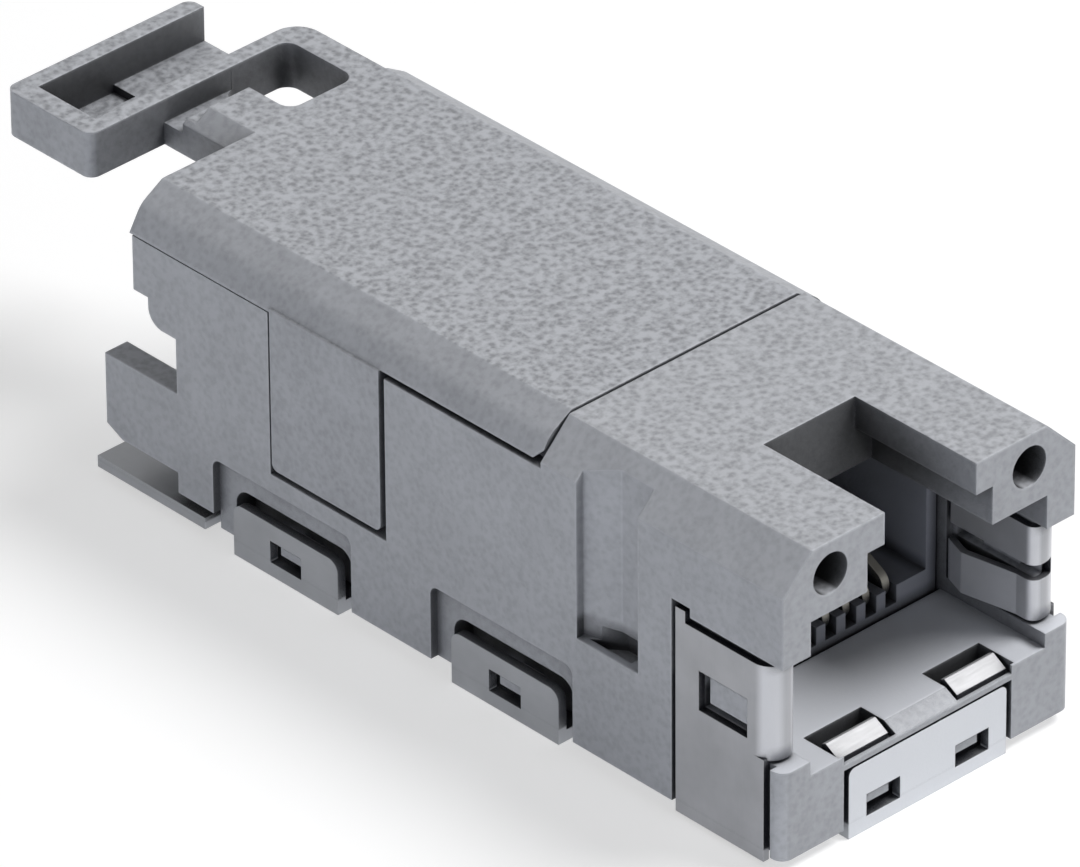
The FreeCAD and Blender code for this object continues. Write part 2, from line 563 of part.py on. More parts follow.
side_cuts.append(pocket(housing, "spring_inner_seat", "XZ_Plane", [box_outline(
    "-%s - %s" % (PLUG_HALF, SPRING_SEAT), "1 - " + PLUG_HALF, "dim.post_height",
    SPRING_SEAT_TOP)], "dim.spring_inner_rear + dim.spring_rear_gap"))
both_sides(housing, "right_side_cuts", side_cuts)

tab_ends = [start + " - dim.tab_gap" for _, start in TABS]
tab_ends += [start + " + dim.tab_length + dim.tab_rear_gap" for _, start in TABS]
dress("PartDesign::Fillet", housing, "slot_rounding", edges_at(
    housing, "x", y=tab_ends, z=["dim.tab_height + dim.tab_gap"]), "Radius", "dim.slot_radius")
seat_ends = [start + " - dim.seat_front_margin" for _, start in TABS]
seat_ends += [start + " + dim.tab_length + dim.seat_rear_margin" for _, start in TABS]
dress("PartDesign::Fillet", housing, "seat_rounding", edges_at(
    housing, "x", y=seat_ends, z=["dim.seat_top"]), "Radius", "dim.seat_radius")
for name, place, bend in (
        ("outer_pillar_edges", "%s - %s" % (HALF_WIDTH, SPRING_SEAT), "dim.spring_bend"),
        ("inner_pillar_edges", "%s + %s" % (PLUG_HALF, SPRING_SEAT), "dim.spring_inner_bend")):
    dress("PartDesign::Fillet", housing, name, edges_at(
        housing, "z", x=[place], y=["dim.pillar_setback"]),
        "Radius", "%s - %s" % (bend, SPRING_SEAT))

# The open joints over and behind the shield springs, and the relief of the pillars behind the
# slots over the contact fingers.
spring_joints = pocket(housing, "spring_joints", "YZ_Plane", [[
    ("dim.spring_rear", "0"),
    ("dim.spring_rear + dim.spring_rear_gap", "0"),
    ("dim.spring_rear + dim.spring_rear_gap", "dim.spring_top + dim.ear_height + dim.ear_gap"),
    (EAR_FRONT + " - dim.ear_gap", "dim.spring_top + dim.ear_height + dim.ear_gap"),
    (EAR_FRONT + " - dim.ear_gap", SPRING_SEAT_TOP),
    ("dim.spring_front", SPRING_SEAT_TOP),
    ("dim.spring_front", "dim.spring_top"),
    (EAR_FRONT, "dim.spring_top"),
    (EAR_FRONT, "dim.spring_top + dim.ear_height"),
    ("dim.spring_rear", "dim.spring_top + dim.ear_height"),
]], "dim.spring_groove", offset=LEFT_SIDE, reverse=True)
both_sides(housing, "right_spring_joints", [spring_joints])
pocket(housing, "finger_relief", "XZ_Plane", [[
    (sign + " * (%s - 1)" % PLUG_HALF, "dim.finger_top - dim.spring_play"),
    (sign + " * (%s + %s + dim.finger_relief)" % (PLUG_HALF, SPRING_SEAT),
     "dim.finger_top - dim.spring_play"),
    (sign + " * (%s + %s + dim.finger_relief)" % (PLUG_HALF, SPRING_SEAT),
     FINGER_SLOT_TOP + " + dim.spring_play"),
    (sign + " * (%s - 1)" % PLUG_HALF, FINGER_SLOT_TOP + " + dim.spring_play"),
] for _, sign in SIDES], "dim.spring_inner_rear")

# Lugs that stand in the windows of the tabs and of the shield springs.
lugs = [pad(housing, word + "_tab_lug", "YZ_Plane", [box_outline(
    start + " + (dim.tab_length - dim.window_width) / 2 + dim.window_clearance",
    start + " + (dim.tab_length + dim.window_width) / 2 - dim.lug_joint",
    "dim.window_bottom + dim.lug_joint", WINDOW_TOP + " - dim.window_clearance")],
    "dim.tab_slot_depth", offset=LEFT_SIDE + " + dim.lug_inset") for word, start in TABS]
lugs.append(pad(housing, "spring_lug", "YZ_Plane", [box_outline(
    "dim.side_window_front + dim.window_clearance",
    "dim.side_window_front + dim.side_window_length - dim.lug_joint",
    "dim.side_window_bottom + dim.lug_joint",
    "dim.side_window_bottom + dim.side_window_height - dim.window_clearance")],
    "dim.side_window_well", offset=LEFT_SIDE + " + dim.lug_inset"))
both_sides(housing, "right_side_lugs", lugs)
pad(housing, "front_lugs", "XZ_Plane", [box_outline(
    sign + " * dim.front_window_spacing / 2 - dim.window_width / 2 + dim.window_clearance",
    sign + " * dim.front_window_spacing / 2 + dim.window_width / 2 - dim.lug_joint",
    "dim.window_bottom + dim.lug_joint", WINDOW_TOP + " - dim.window_clearance")
    for _, sign in SIDES], "dim.front_seat_depth", reverse=True, offset="-dim.lug_inset")
dress("PartDesign::Fillet", housing, "post_rounding", edges_at(
    housing, "z", x=[HALF_WIDTH], y=["0"], z=["(dim.plate_gauge + dim.post_height) / 2"]),
    "Radius", "dim.post_radius")

# --- the die-cast lid with its side flaps and the strain relief
KNEE_HALF = "(dim.body_width / 2 - dim.cover_knee_inset)"
KNEE_TOP = "dim.body_height - dim.cover_knee_drop"
FLAT_HALF = "(dim.body_width / 2 - dim.cover_flat_inset)"
CEILING_HALF = "(dim.body_width / 2 - dim.cover_ceiling_inset)"
RELIEF_BOTTOM = "dim.body_height - dim.relief_height"
TROUGH_REAR = OVERALL + " - dim.trough_wall"
TROUGH_RIGHT = "(%s - dim.trough_setback)" % RELIEF_HALF
pad(cover, "shell", "XZ_Plane", [[
    ("-" + HALF_WIDTH, COVER_BOTTOM),
    (HALF_WIDTH, COVER_BOTTOM),
    (KNEE_HALF, KNEE_TOP),
    (FLAT_HALF, "dim.body_height"),
    ("-" + FLAT_HALF, "dim.body_height"),
    ("-" + KNEE_HALF, KNEE_TOP),
]], "dim.cover_length", reverse=True, offset="-(%s)" % COVER_FRONT)
dress("PartDesign::Fillet", cover, "knee_rounding", edges_at(
    cover, "y", x=[KNEE_HALF], z=[KNEE_TOP]), "Radius", "dim.knee_radius")
dress("PartDesign::Fillet", cover, "flat_rounding", edges_at(
    cover, "y", x=[FLAT_HALF], z=["dim.body_height"]), "Radius", "dim.flat_radius")
pocket(cover, "hollow", "XZ_Plane", [[
    ("-" + TRAY_HALF, COVER_BOTTOM + " - 1"),
    (TRAY_HALF, COVER_BOTTOM + " - 1"),
    (TRAY_HALF, COVER_BOTTOM + " + 0.1"),
    (CEILING_HALF, COVER_CEILING),
    ("-" + CEILING_HALF, COVER_CEILING),
    ("-" + TRAY_HALF, COVER_BOTTOM + " + 0.1"),
]], "dim.cover_length - 2 * dim.cover_wall", offset="-(%s + dim.cover_wall)" % COVER_FRONT)
pocket(cover, "lower_edges", "YZ_Plane", [[
    (COVER_FRONT + " - 1", COVER_BOTTOM + " - 1"),
    (FLAP_FRONT, COVER_BOTTOM + " - 1"),
    (FLAP_FRONT, COVER_BOTTOM + " + dim.lid_relief"),
    (COVER_FRONT + " + dim.lid_corner", COVER_BOTTOM + " + dim.lid_relief"),
    (COVER_FRONT, COVER_BOTTOM + " + dim.lid_relief + dim.lid_corner"),
    (COVER_FRONT + " - 1", COVER_BOTTOM + " + dim.lid_relief + dim.lid_corner"),
]], "dim.side_wall / 2", offset=LEFT_SIDE, reverse=True)
both_sides(cover, "right_lower_edge", [cuts[-1]])
pad(cover, "strain_relief", "XY_Plane", [[
    ("-dim.neck_left", COVER_REAR + " - 0.5"),
    ("-dim.neck_left", TIE_WALL),
    ("-" + RELIEF_HALF, TIE_WALL),
    ("-" + RELIEF_HALF, OVERALL),
    (TROUGH_RIGHT, OVERALL),
    (TROUGH_RIGHT, TIE_WALL + " + dim.tie_wall_gauge"),
    (RELIEF_HALF, TIE_WALL + " + dim.tie_wall_gauge"),
    (RELIEF_HALF, COVER_REAR + " - 0.5"),
]], "dim.relief_height", offset=RELIEF_BOTTOM)
dress("PartDesign::Fillet", cover, "bar_rounding", edges_at(
    cover, "z", x=[RELIEF_HALF, TROUGH_RIGHT], y=[TIE_WALL, OVERALL]),
    "Radius", "dim.bar_radius")
dress("PartDesign::Fillet", cover, "loop_rounding", edges_at(
    cover, "z", x=[RELIEF_HALF], y=[TIE_WALL + " + dim.tie_wall_gauge"]),
    "Radius", "dim.loop_radius")
pocket(cover, "tie_loop", "XY_Plane", [box_outline(
    "dim.loop_left", RELIEF_HALF + " - dim.loop_rim", COVER_REAR + " + dim.loop_gap", TIE_WALL)],
    "dim.relief_height + 1", offset="dim.body_height")
dress("PartDesign::Fillet", cover, "inner_rounding", edges_at(
    cover, "z", x=["dim.loop_left", RELIEF_HALF + " - dim.loop_rim"],
    y=[COVER_REAR + " + dim.loop_gap", TIE_WALL]), "Radius", "dim.loop_inner_radius")
pocket(cover, "neck_side", "XZ_Plane", [[
    ("-dim.neck_left - 0.1", "dim.body_height + 0.1"),
    ("-dim.neck_left - 0.1", "dim.body_height - dim.neck_drop"),
    ("-dim.neck_left", "dim.body_height - dim.neck_drop"),
    ("dim.neck_slope - dim.neck_left", "dim.body_height"),
    ("dim.neck_slope - dim.neck_left", "dim.body_height + 0.1"),
]], "dim.relief_length - dim.bar_length", offset="-(%s)" % COVER_REAR)
pocket(cover, "trough", "XY_Plane", [box_outline(
    "dim.trough_end_wall - " + RELIEF_HALF, TROUGH_RIGHT + " + 1",
    TIE_WALL + " + dim.tie_wall_gauge", TROUGH_REAR)],
    "dim.relief_height - dim.trough_floor", offset="dim.body_height")
pocket(cover, "tie_recess", "XY_Plane", [box_outline(
    "dim.tie_recess_x - dim.tie_recess_width / 2", "dim.tie_recess_x + dim.tie_recess_width / 2",
    TROUGH_REAR + " - dim.tie_recess_length", TROUGH_REAR)],
    "dim.relief_height - dim.tie_recess_floor", offset="dim.body_height")
for name, length, depth in (
        ("tie_groove", "dim.tie_groove_length", "dim.tie_groove_depth"),
        ("tie_step", "dim.tie_groove_length + dim.tie_step_length", "dim.tie_step_depth")):
    pocket(cover, name, "XY_Plane", [box_outline(
        "-dim.neck_left - 1", "dim.loop_left + 0.5", "%s - (%s)" % (TIE_WALL, length), TIE_WALL)],
        depth, offset="dim.body_height")
flap = pad(cover, "flap", "YZ_Plane", [box_outline(
    FLAP_FRONT, FLAP_REAR, "dim.flap_bottom", COVER_BOTTOM + " + dim.lid_relief")],
    "dim.side_wall", offset=LEFT_SIDE)
both_sides(cover, "right_flap", [flap])
dress("PartDesign::Fillet", cover, "flap_rounding", edges_at(
    cover, "x", y=[FLAP_FRONT, FLAP_REAR], z=["dim.flap_bottom"]), "Radius", "dim.flap_radius")

# --- the bent plate under the housing
bottom = piece("bottom_plate")
PLATE_HALF = "(dim.body_width / 2 - dim.plate_inset)"
right_edge = [
    ("dim.front_tab_width / 2", "0"),
    ("dim.front_tab_width / 2", "dim.front_seat_depth"),
    (PLATE_HALF, "dim.front_seat_depth"),
]
for word, start in TABS:
    right_edge += [
        (PLATE_HALF, start),
        (HALF_WIDTH, start),
        (HALF_WIDTH, start + " + dim.tab_length"),
        (PLATE_HALF, start + " + dim.tab_length"),
    ]
right_edge.append((PLATE_HALF, SEAT_REAR))
left_edge = [("-(%s)" % across, station) for across, station in reversed(right_edge)]
pad(bottom, "sheet", "XY_Plane", [right_edge + left_edge], "dim.plate_gauge")
pad(bottom, "joggle", "YZ_Plane", [[
    (SEAT_REAR, "0"),
    (FLANGE_FRONT, "dim.flange_rise"),
    (FLANGE_FRONT, "dim.flange_rise + dim.plate_gauge"),
    (SEAT_REAR, "dim.plate_gauge"),
]], "2 * " + PLATE_HALF, symmetric=True)
pad(bottom, "flange", "XY_Plane", [box_outline(
    "-" + HALF_WIDTH, HALF_WIDTH, FLANGE_FRONT, FLANGE_REAR)],
    "dim.plate_gauge", offset="dim.flange_rise")
side_tabs = []
for word, start in TABS:
    side_tabs.append(pad(bottom, word + "_tab", "YZ_Plane", [
        box_outline(start, start + " + dim.tab_length", "0", "dim.tab_height"),
        box_outline(
            start + " + (dim.tab_length - dim.window_width) / 2",
            start + " + (dim.tab_length + dim.window_width) / 2",
            "dim.window_bottom", WINDOW_TOP)],
        "dim.tab_gauge", offset=LEFT_SIDE))
both_sides(bottom, "right_side_tabs", side_tabs)
pad(bottom, "front_tab", "XZ_Plane", [box_outline(
    "-dim.front_tab_width / 2", "dim.front_tab_width / 2", "0", "dim.front_tab_height")] + [
    box_outline(
        sign + " * dim.front_window_spacing / 2 - dim.window_width / 2",
        sign + " * dim.front_window_spacing / 2 + dim.window_width / 2",
        "dim.window_bottom", WINDOW_TOP) for _, sign in SIDES],
    "dim.tab_gauge", reverse=True)
dress("PartDesign::Fillet", bottom, "side_tab_rounding", edges_at(
    bottom, "x", z=["dim.tab_height"], x=["%s - dim.tab_gauge / 2" % HALF_WIDTH],
    y=[start for _, start in TABS] + [start + " + dim.tab_length" for _, start in TABS]),
    "Radius", "dim.tab_radius")
dress("PartDesign::Fillet", bottom, "front_tab_rounding", edges_at(
    bottom, "y", z=["dim.front_tab_height"], x=["dim.front_tab_width / 2"]),
    "Radius", "dim.front_tab_radius")

# --- the shield springs round the front pillars
for side, sign in SIDES:
    spring = piece("shield_spring_" + side)
    across = sign + " * "
    outer = across + HALF_WIDTH
    inner = across + PLUG_HALF
    outer_back = "%s(%s - dim.spring_gauge)" % (across, HALF_WIDTH)
    inner_back = "%s(%s + dim.spring_gauge)" % (across, PLUG_HALF)
    pad(spring, "bent_strip", "XY_Plane", [[
        (outer, "dim.spring_rear"),
        (outer, "dim.spring_front"),
        (inner, "dim.spring_front"),
        (inner, "dim.spring_inner_rear"),
        (inner_back, "dim.spring_inner_rear"),
        (inner_back, "dim.spring_front + dim.spring_gauge"),
        (outer_back, "dim.spring_front + dim.spring_gauge"),
        (outer_back, "dim.spring_rear"),
    ]], "dim.spring_top - (%s)" % SPRING_FOOT, offset=SPRING_FOOT)
    for name, place, station, radius in (
            ("bend_outside", HALF_WIDTH, "dim.spring_front", "dim.spring_bend"),
            ("inner_bend_outside", PLUG_HALF, "dim.spring_front", "dim.spring_inner_bend"),
            ("bend_inside", "%s - dim.spring_gauge" % HALF_WIDTH,
             "dim.spring_front + dim.spring_gauge", "dim.spring_bend - dim.spring_gauge"),
            ("inner_bend_inside", "%s + dim.spring_gauge" % PLUG_HALF,
             "dim.spring_front + dim.spring_gauge", "dim.spring_inner_bend - dim.spring_gauge")):
        dress("PartDesign::Fillet", spring, name, edges_at(
            spring, "z", x=[place], y=[station]), "Radius", radius)
    leg_middle = across + "(%s - dim.spring_gauge / 2)" % HALF_WIDTH
    pad(spring, "side_leg", "YZ_Plane", [box_outline(
        "dim.spring_leg_front", "dim.spring_rear", "dim.spring_bottom", SPRING_FOOT + " + 0.1")],
        "dim.spring_gauge", offset=leg_middle, symmetric=True)
    pad(spring, "ear", "YZ_Plane", [box_outline(
        "dim.spring_rear - dim.ear_length", "dim.spring_rear", "dim.spring_top - 0.1",
        "dim.spring_top + dim.ear_height")], "dim.spring_gauge", offset=leg_middle, symmetric=True)
    pocket(spring, "side_window", "YZ_Plane", [box_outline(
        "dim.side_window_front", "dim.side_window_front + dim.side_window_length",
        "dim.side_window_bottom", "dim.side_window_bottom + dim.side_window_height")],
        "2 * dim.spring_gauge", offset=leg_middle, symmetric=True)
    pocket(spring, "finger_window", "YZ_Plane", [box_outline(
        "dim.finger_front", "dim.spring_inner_rear + 1", SPRING_FOOT + " - 1", FINGER_SLOT_TOP)],
        "2 * dim.spring_gauge", offset=inner, symmetric=True)
    pad(spring, "finger", "XY_Plane", [[
        (inner, "dim.finger_front"),
        (across + "(%s - dim.finger_reach)" % PLUG_HALF, "dim.spring_inner_rear - 1"),
        (across + "(%s - 0.1)" % PLUG_HALF, "dim.spring_inner_rear"),
        (across + "(%s - 0.1 + dim.spring_gauge)" % PLUG_HALF, "dim.spring_inner_rear"),
        (across + "(%s - dim.finger_reach + dim.spring_gauge)" % PLUG_HALF,
         "dim.spring_inner_rear - 1"),
        (inner_back, "dim.finger_front"),
    ]], "dim.finger_top - (%s)" % SPRING_FOOT, offset=SPRING_FOOT)

# The slot over the finger runs on across the front leg of the right spring.
pocket(spring, "front_slot", "XZ_Plane", [box_outline(
    PLUG_HALF + " - 1", HALF_WIDTH + " - dim.finger_slot_end", "dim.finger_top", FINGER_SLOT_TOP)],
    "dim.finger_front - dim.spring_front + 1", offset="1 - dim.spring_front")

# --- the two small ground springs at the front of the floor
CREST = "dim.plug_floor + dim.ground_rise"
POCKET_FLOOR = "dim.plug_floor - dim.pocket_depth"
WELL_FLOOR = "dim.plug_floor - dim.well_depth"
for side, sign in SIDES:
    ground = piece("ground_spring_" + side)
    pad(ground, "leaf", "YZ_Plane", [[
        ("dim.ground_front", POCKET_FLOOR),
        ("dim.ground_front + dim.ground_gauge", POCKET_FLOOR),
        ("dim.ground_rear - dim.ground_gauge", CREST + " - 1.3 * dim.ground_gauge"),
        ("dim.ground_rear - dim.ground_gauge", WELL_FLOOR),
        ("dim.ground_rear", WELL_FLOOR),
        ("dim.ground_rear", CREST + " - dim.ground_gauge / 2"),
        ("dim.ground_crest", CREST),
        ("dim.ground_front", POCKET_FLOOR + " + dim.ground_tip"),
    ]], "dim.ground_width", symmetric=True, offset=sign + " * dim.ground_spacing / 2")

# --- the plastic insert with its comb
insert = piece("contact_insert")
pad(insert, "base_and_back", "YZ_Plane", [[
    ("dim.insert_front", "dim.tray_floor"),
    (INSERT_REAR, "dim.tray_floor"),
    (INSERT_REAR, INSERT_TOP),
    (INSERT_WALL, INSERT_TOP),
    (INSERT_WALL, "dim.insert_base"),
    ("dim.insert_front", "dim.insert_base"),
]], "2 * (%s - dim.insert_play)" % PLUG_HALF, symmetric=True)
cheek = pad(insert, "cheek", "YZ_Plane", [box_outline(
    "dim.insert_front", INSERT_WALL + " + 0.1", "dim.insert_base", PLUG_TOP + " - dim.cheek_drop")],
    "dim.cheek_width", offset="-%s + dim.insert_play" % PLUG_HALF)
both_sides(insert, "right_cheek", [cheek])
comb_slot = pocket(insert, "comb_slot", "YZ_Plane", [[
    ("dim.insert_front - 1", BOARD_TOP),
    (INSERT_REAR + " + 1", BOARD_TOP),
    (INSERT_REAR + " + 1", BOARD_TOP + " + 2 * dim.contact_gauge"),
    (CONTACT_END + " + 0.5", BOARD_TOP + " + 2 * dim.contact_gauge"),
    (CONTACT_END + " + 0.5", PLUG_TOP + " - dim.comb_drop"),
    ("dim.insert_front - 1", PLUG_TOP + " - dim.comb_drop"),
]], "dim.contact_slot", symmetric=True, offset="-3.5 * dim.contact_pitch")
repeat(insert, "comb", [comb_slot], "X_Axis", "7 * dim.contact_pitch", 8)

# --- the eight jack wires: along the board and the comb, round the nose and back up
for number in range(1, 9):
    across = "%s * dim.contact_pitch" % (number - 4.5)
    wire = piece("contact_wire_%d" % number)
    path = sketch(wire, "wire_path", "YZ_Plane", across)
    run = path.addGeometry(Part.LineSegment(
        FreeCAD.Vector(15, 4, 0), FreeCAD.Vector(6.5, 4, 0)))
    nose = path.addGeometry(Part.Arc(
        FreeCAD.Vector(6.5, 4, 0), FreeCAD.Vector(6, 4.5, 0), FreeCAD.Vector(6.3, 5, 0)))
    free_end = path.addGeometry(Part.LineSegment(
        FreeCAD.Vector(6.3, 5, 0), FreeCAD.Vector(11.8, 8, 0)))
    path.addConstraint(Sketcher.Constraint("Horizontal", run))
    path.addConstraint(Sketcher.Constraint("Tangent", run, 2, nose, 2))
    path.addConstraint(Sketcher.Constraint("Tangent", nose, 1, free_end, 1))
    bind(path, "DistanceX", -1, 1, run, 1, size=CONTACT_TAIL, near=15)
    bind(path, "DistanceY", -1, 1, run, 1, size=BOARD_TOP + " + dim.contact_gauge / 2", near=4)
    bind(path, "DistanceX", -1, 1, run, 2, size="dim.contact_nose", near=6.5)
    bind(path, "Radius", nose, size="dim.contact_bend", near=0.5)
    bind(path, "DistanceY", -1, 1, free_end, 2, size=PLUG_TOP + " - dim.contact_drop", near=8)
    bind(path, "DistanceX", -1, 1, free_end, 2, size=CONTACT_END, near=11.8)
    section = sketch(wire, "wire_section", "XZ_Plane", "-(%s)" % CONTACT_TAIL)
    outline(section, box_outline(
        across + " - dim.contact_width / 2", across + " + dim.contact_width / 2",
        BOARD_TOP, BOARD_TOP + " + dim.contact_gauge"))
    sweep = wire.newObject("PartDesign::AdditivePipe", "wire_sweep")
    sweep.Profile = section
    sweep.Spine = (path, ["Edge1", "Edge2", "Edge3"])

# --- foil, circuit board, terminal block and terminals
BOARD_HALF = "(dim.body_width / 2 - dim.side_wall - dim.board_play)"
foil = piece("insulating_foil")
pad(foil, "sheet", "XY_Plane", [box_outline(
    "-" + BOARD_HALF, BOARD_HALF, BOARD_FRONT, BOARD_FRONT + " + dim.board_length")],
    "dim.foil_gauge", offset="dim.tray_floor")
board = piece("circuit_board")
pad(board, "laminate", "XY_Plane", [box_outline(
    "-" + BOARD_HALF, BOARD_HALF, BOARD_FRONT, BOARD_FRONT + " + dim.board_length")],
    "dim.board_gauge", offset=FOIL_TOP)

TERMINALS = [
    ("%s * %s" % (column, TERMINAL_PITCH), "%s + %d * dim.terminal_row_gap" % (TERMINAL_ROW, row))
    for row in range(2) for column in (-1.5, -0.5, 0.5, 1.5)]


def terminal_outlines(play):
    """The outlines of the terminals from above, with a clearance all round."""
    return [box_outline(
        "%s - dim.terminal_width / 2 - %s" % (across, play),
        "%s + dim.terminal_width / 2 + %s" % (across, play),
        "%s - dim.terminal_gauge / 2 - %s" % (station, play),
        "%s + dim.terminal_gauge / 2 + %s" % (station, play)) for across, station in TERMINALS]


block = piece("terminal_block")
pad(block, "moulding", "XY_Plane", [box_outline(
    "-" + BLOCK_HALF, BLOCK_HALF, BLOCK_FRONT, BLOCK_FRONT + " + dim.block_length")],
    "dim.block_top - (%s)" % BOARD_TOP, offset=BOARD_TOP)
pocket(block, "terminal_slots", "XY_Plane", terminal_outlines("dim.terminal_play"),
       "dim.block_top - (%s) + 1" % BOARD_TOP, offset="dim.block_top + 0.5")
for number, (across, station) in enumerate(TERMINALS, 1):
    blade = piece("idc_terminal_%d" % number)
    slot_floor = "dim.terminal_top - dim.terminal_slot_depth"
    pad(blade, "fork", "XZ_Plane", [[
        (across + " - dim.terminal_width / 2", BOARD_TOP),
        (across + " + dim.terminal_width / 2", BOARD_TOP),
        (across + " + dim.terminal_width / 2", "dim.terminal_top"),
        (across + " + dim.terminal_slot", "dim.terminal_top"),
        (across + " + dim.terminal_slot / 2", "dim.terminal_top - dim.terminal_slot"),
        (across + " + dim.terminal_slot / 2", slot_floor),
        (across + " - dim.terminal_slot / 2", slot_floor),
        (across + " - dim.terminal_slot / 2", "dim.terminal_top - dim.terminal_slot"),
        (across + " - dim.terminal_slot", "dim.terminal_top"),
        (across + " - dim.terminal_width / 2", "dim.terminal_top"),
    ]], "dim.terminal_gauge", symmetric=True, offset="-(%s)" % station)

# --- the wire manager under the lid, and the spring that touches the cable's braid
manager = piece("wire_manager")
pad(manager, "moulding", "XY_Plane", [box_outline(
    "-" + BLOCK_HALF, BLOCK_HALF, MANAGER_FRONT, MANAGER_REAR)],
    "%s - (%s)" % (COVER_CEILING, MANAGER_BOTTOM), offset=MANAGER_BOTTOM)
pocket(manager, "wire_channels", "XZ_Plane", [box_outline(
    "%s * %s - dim.manager_channel / 2" % (column, TERMINAL_PITCH),
    "%s * %s + dim.manager_channel / 2" % (column, TERMINAL_PITCH),
    MANAGER_BOTTOM + " - 1", MANAGER_BOTTOM + " + dim.manager_channel")
    for column in (-1.5, -0.5, 0.5, 1.5)],
    "%s - (%s) + 2" % (MANAGER_REAR, MANAGER_FRONT), offset="1 - (%s)" % MANAGER_FRONT)
pocket(manager, "terminal_slots", "XY_Plane", terminal_outlines("2 * dim.terminal_play"),
       "dim.terminal_top - (%s) + 0.3" % MANAGER_BOTTOM, offset=MANAGER_BOTTOM, reverse=True)
braid = piece("cable_shield_spring")
foot = "dim.braid_width / 2"
knee = "(dim.braid_width / 2 - 1.2 * dim.braid_drop)"
low = "(%s - dim.braid_drop)" % COVER_CEILING
pad(braid, "leaf", "XZ_Plane", [[
    ("-" + foot, COVER_CEILING),
    ("-" + knee, low),
    (knee, low),
    (foot, COVER_CEILING),
    (foot + " - 1.4 * dim.braid_gauge", COVER_CEILING),
    (knee + " - 0.5 * dim.braid_gauge", low + " + dim.braid_gauge"),
    ("-" + knee + " + 0.5 * dim.braid_gauge", low + " + dim.braid_gauge"),
    ("-" + foot + " + 1.4 * dim.braid_gauge", COVER_CEILING),
]], "dim.braid_length", reverse=True, offset="-(%s)" % BRAID_FRONT)

# --- check every object, then write one file for each piece
doc.recompute()
for item in doc.Objects:
    if "Invalid" in item.State or "Error" in item.State:
        raise RuntimeError("%s failed" % item.Name)
for item in cuts:
    if item.Shape.Volume > item.BaseFeature.Shape.Volume - 1e-6:
        raise RuntimeError("%s cuts nothing" % item.Name)
for item in pieces:
    if item.Shape.isNull() or not item.Shape.isValid():
        raise RuntimeError("%s has no valid shape" % item.Label)
os.makedirs("parts", exist_ok=True)
for item in pieces:
    item.Shape.exportStep("parts/%s.step" % item.Label)
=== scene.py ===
import json

import bpy
from mathutils import Matrix, Vector

MM = 0.001

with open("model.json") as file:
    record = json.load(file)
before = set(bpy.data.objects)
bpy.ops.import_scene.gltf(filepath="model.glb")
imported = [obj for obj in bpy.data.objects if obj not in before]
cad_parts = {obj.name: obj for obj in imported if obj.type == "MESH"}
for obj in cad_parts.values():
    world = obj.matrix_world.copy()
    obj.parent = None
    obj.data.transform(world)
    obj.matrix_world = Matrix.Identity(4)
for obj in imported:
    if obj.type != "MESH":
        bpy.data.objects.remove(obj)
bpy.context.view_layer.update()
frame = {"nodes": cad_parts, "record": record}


def colour(red, green, blue):
    return (red, green, blue, 1.0)


def scaled(tone, factor):
    """A tone made lighter or darker, kept under white."""
    return colour(*[min(1.0, part * factor) for part in tone])


WHITE = colour(1.0, 1.0, 1.0)
BLACK = colour(0.0, 0.0, 0.0)
# Near-black colours of the painted shade in crevices and between parts.
METAL_CREVICE_SHADE = colour(0.015, 0.016, 0.022)
PLASTIC_CREVICE_SHADE = colour(0.004, 0.004, 0.005)


